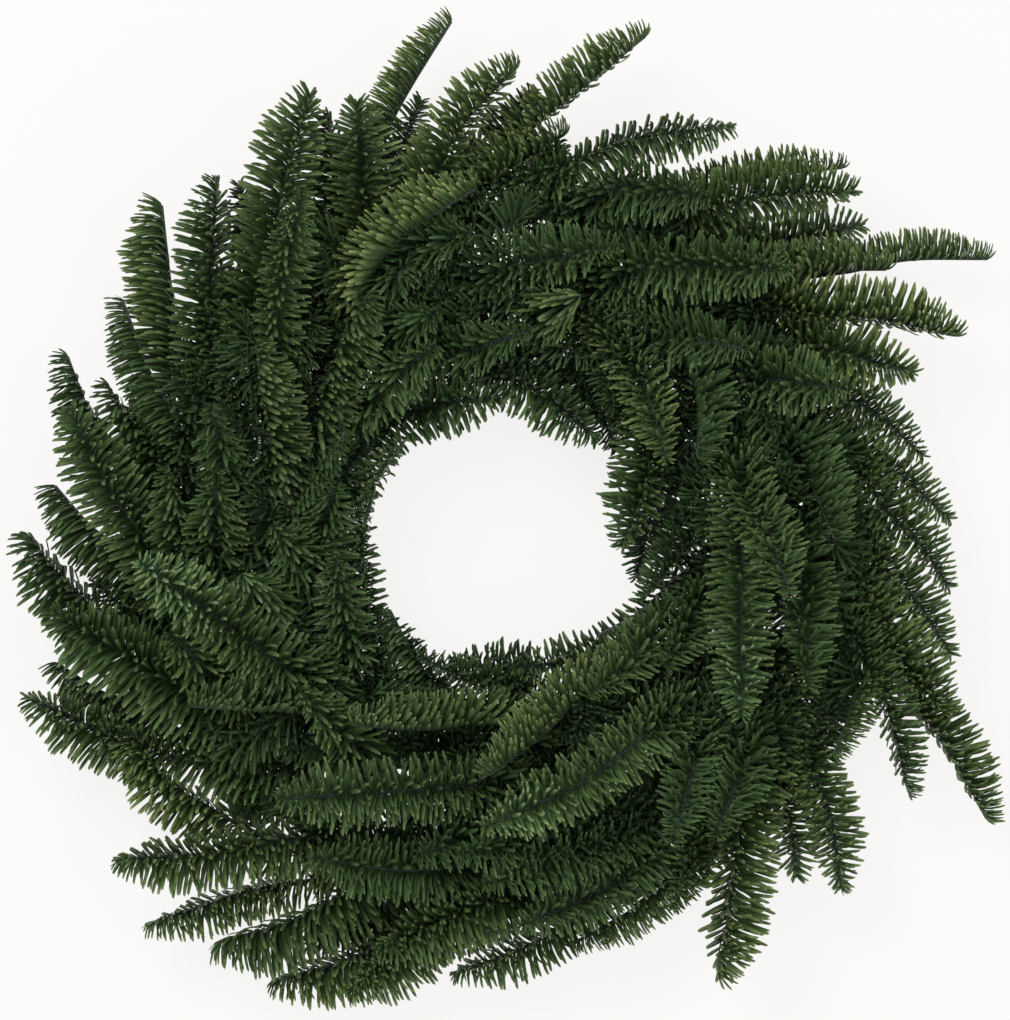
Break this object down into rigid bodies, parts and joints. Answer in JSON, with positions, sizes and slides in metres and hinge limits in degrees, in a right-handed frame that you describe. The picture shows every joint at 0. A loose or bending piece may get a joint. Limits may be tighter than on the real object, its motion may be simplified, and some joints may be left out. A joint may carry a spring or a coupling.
{
  "type": "fresh evergreen wreath",
  "caption": "Round wreath of cut noble fir boughs bound with wire to a steel ring, its tips swirling clockwise round an open middle.",
  "frame": {"origin": "on the surface that the wreath lies on, under the middle of its outline", "axes": "+Z out of the wreath's face, +Y towards its top as pictured, +X to the right seen from the front"},
  "size_m": [0.5934, 0.5962, 0.1117],
  "materials": {
    "ring_steel": "satin",
    "binding_wire": "satin",
    "fir_needles": "satin",
    "fir_bark": "matte"
  },
  "bodies": {
    "root": {"wire_ring": "ring_steel", "binding_wire": "binding_wire", "fir_bough_01": "fir_needles", "fir_bough_02": "fir_needles", "fir_bough_03": "fir_needles", "fir_bough_04": "fir_needles", "fir_bough_05": "fir_needles", "fir_bough_06": "fir_needles", "fir_bough_07": "fir_needles", "fir_bough_08": "fir_needles", "fir_bough_09": "fir_needles", "fir_bough_10": "fir_needles", "fir_bough_11": "fir_needles", "fir_bough_12": "fir_needles", "fir_bough_13": "fir_needles", "fir_bough_14": "fir_needles", "fir_bough_15": "fir_needles", "fir_bough_16": "fir_needles", "fir_bough_17": "fir_needles", "fir_bough_18": "fir_needles", "fir_bough_19": "fir_needles", "fir_bough_20": "fir_needles", "fir_bough_21": "fir_needles", "fir_bough_22": "fir_needles", "fir_bough_23": "fir_needles", "fir_bough_24": "fir_needles", "fir_bough_25": "fir_needles", "fir_bough_26": "fir_needles", "fir_bough_27": "fir_needles", "fir_bough_28": "fir_needles", "fir_bough_29": "fir_needles", "fir_bough_30": "fir_needles", "fir_bough_31": "fir_needles", "fir_bough_32": "fir_needles", "fir_bough_33": "fir_needles", "fir_bough_34": "fir_needles", "fir_bough_35": "fir_needles", "fir_bough_36": "fir_needles", "fir_bough_37": "fir_needles", "fir_bough_38": "fir_needles", "fir_bough_39": "fir_needles", "fir_bough_40": "fir_needles", "fir_bough_41": "fir_needles", "fir_bough_42": "fir_needles", "fir_bough_43": "fir_needles", "fir_bough_44": "fir_needles", "fir_bough_45": "fir_needles", "fir_bough_46": "fir_needles", "fir_bough_47": "fir_needles", "fir_bough_48": "fir_needles", "fir_bough_49": "fir_needles", "fir_bough_50": "fir_needles", "fir_bough_51": "fir_needles", "fir_bough_52": "fir_needles", "fir_bough_53": "fir_needles", "fir_bough_54": "fir_needles"}
  },
  "joints": []
}
